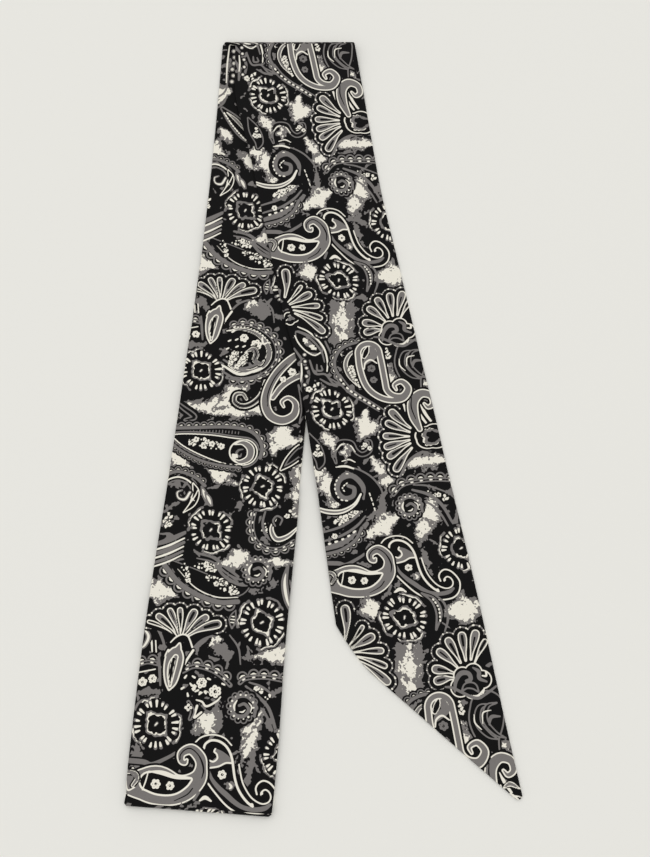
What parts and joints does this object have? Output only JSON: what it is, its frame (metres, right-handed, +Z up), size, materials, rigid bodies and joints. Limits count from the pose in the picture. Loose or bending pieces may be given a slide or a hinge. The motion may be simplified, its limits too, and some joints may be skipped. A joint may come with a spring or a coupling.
{
  "type": "skinny printed scarf",
  "caption": "Long narrow scarf of printed cloth with slanted ends, folded over at the top and laid flat, one tail crossing the other.",
  "frame": {"origin": "middle of the ground that the scarf covers, on the surface that it lies on", "axes": "+Z up from the surface, +Y along the scarf towards the fold over the top, so the tails point to -Y; +X to the side of the pointed tail"},
  "size_m": [0.1883, 0.4472, 0.0036],
  "materials": {
    "printed_cloth": "fine smooth twill with a soft sheen, printed with a black, warm grey and cream paisley"
  },
  "bodies": {
    "root": {"pointed_tail": "printed_cloth", "square_tail": "printed_cloth", "top_fold": "printed_cloth", "bottom_fold": "printed_cloth", "turned_under_run": "printed_cloth"}
  },
  "joints": []
}
